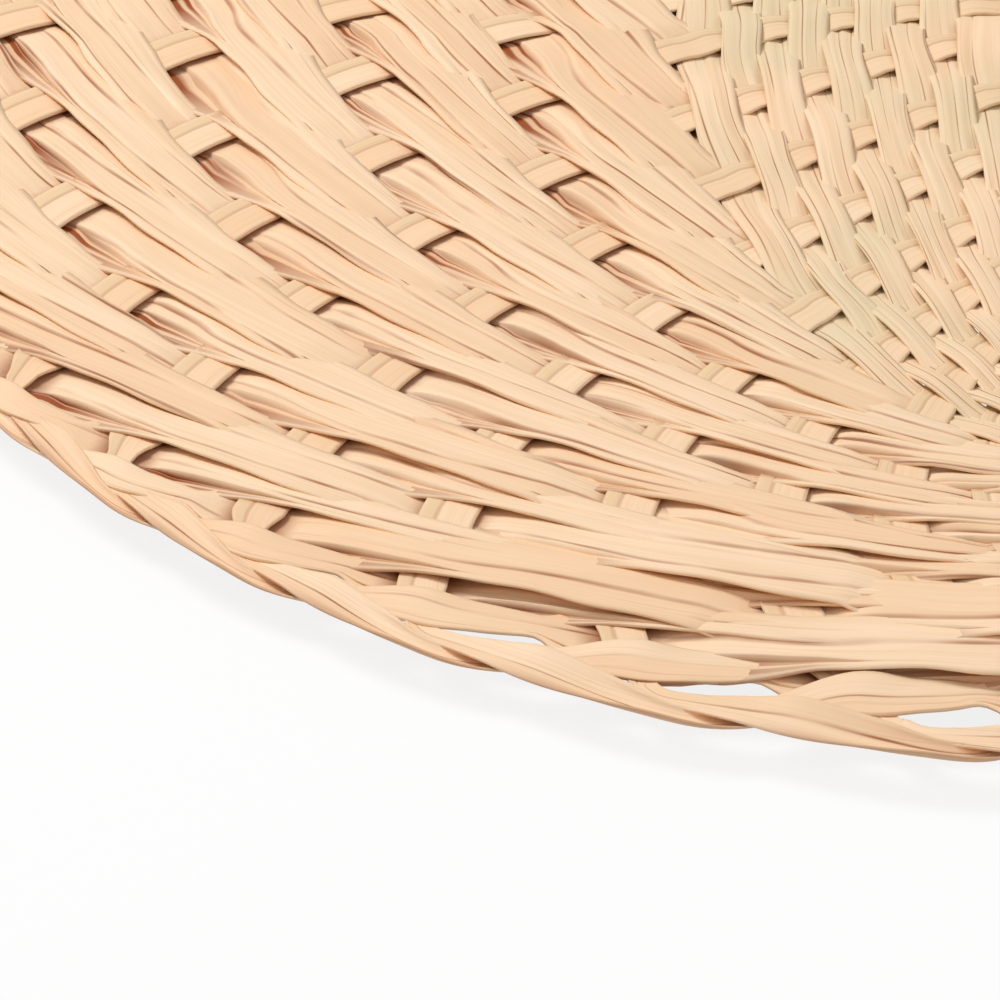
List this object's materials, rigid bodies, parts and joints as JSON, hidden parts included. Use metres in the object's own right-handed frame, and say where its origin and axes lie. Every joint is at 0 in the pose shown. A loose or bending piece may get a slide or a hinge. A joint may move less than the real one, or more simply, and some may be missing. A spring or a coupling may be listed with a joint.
{
  "type": "palm leaf hand fan",
  "caption": "Flat oval hand fan plaited from palm leaf strips, with a twisted rim and a finer woven core, held in the slit of a straight bamboo handle with a wound neck.",
  "frame": {"origin": "on the flat back of the handle, under the widest line of the blade", "axes": "+Y along the handle towards the blade's tip, +Z out of the blade's front, +X across the blade"},
  "size_m": [0.27, 0.4305, 0.0108],
  "materials": {
    "palm_leaf": "satin dried leaf",
    "core_leaf": "satin dried leaf",
    "bamboo": "smoothed bamboo"
  },
  "bodies": {
    "root": {"core_strip_1": "core_leaf", "core_strip_2": "core_leaf", "core_strip_3": "core_leaf", "core_strip_4": "core_leaf", "core_strip_5": "core_leaf", "core_strip_6": "core_leaf", "core_strip_7": "core_leaf", "core_strip_8_left": "core_leaf", "core_strip_8_right": "core_leaf", "core_strip_9_left": "core_leaf", "core_strip_9_right": "core_leaf", "leaf_strip_01": "palm_leaf", "leaf_strip_02": "palm_leaf", "leaf_strip_03": "palm_leaf", "leaf_strip_04": "palm_leaf", "leaf_strip_05": "palm_leaf", "leaf_strip_06": "palm_leaf", "leaf_strip_07": "palm_leaf", "leaf_strip_08": "palm_leaf", "leaf_strip_09": "palm_leaf", "leaf_strip_10": "palm_leaf", "leaf_strip_11": "palm_leaf", "leaf_strip_12": "palm_leaf", "leaf_strip_13": "palm_leaf", "leaf_strip_14": "palm_leaf", "leaf_strip_15": "palm_leaf", "leaf_strip_16": "palm_leaf", "leaf_strip_17": "palm_leaf", "leaf_strip_18": "palm_leaf", "leaf_strip_19": "palm_leaf", "leaf_strip_20": "palm_leaf", "leaf_strip_21": "palm_leaf", "leaf_strip_22": "palm_leaf", "leaf_strip_23": "palm_leaf", "leaf_strip_24": "palm_leaf", "leaf_strip_25": "palm_leaf", "leaf_strip_26": "palm_leaf", "leaf_strip_27": "palm_leaf", "leaf_strip_28": "palm_leaf", "leaf_strip_29": "palm_leaf", "leaf_strip_30": "palm_leaf", "leaf_strip_31": "palm_leaf", "leaf_strip_32": "palm_leaf", "leaf_strip_33": "palm_leaf", "leaf_strip_34": "palm_leaf", "leaf_strip_35": "palm_leaf", "leaf_strip_36": "palm_leaf", "leaf_strip_37": "palm_leaf", "leaf_strip_38": "palm_leaf", "leaf_strip_39": "palm_leaf", "leaf_strip_40": "palm_leaf", "neck_binding": "palm_leaf", "split_handle": "bamboo"}
  },
  "joints": []
}
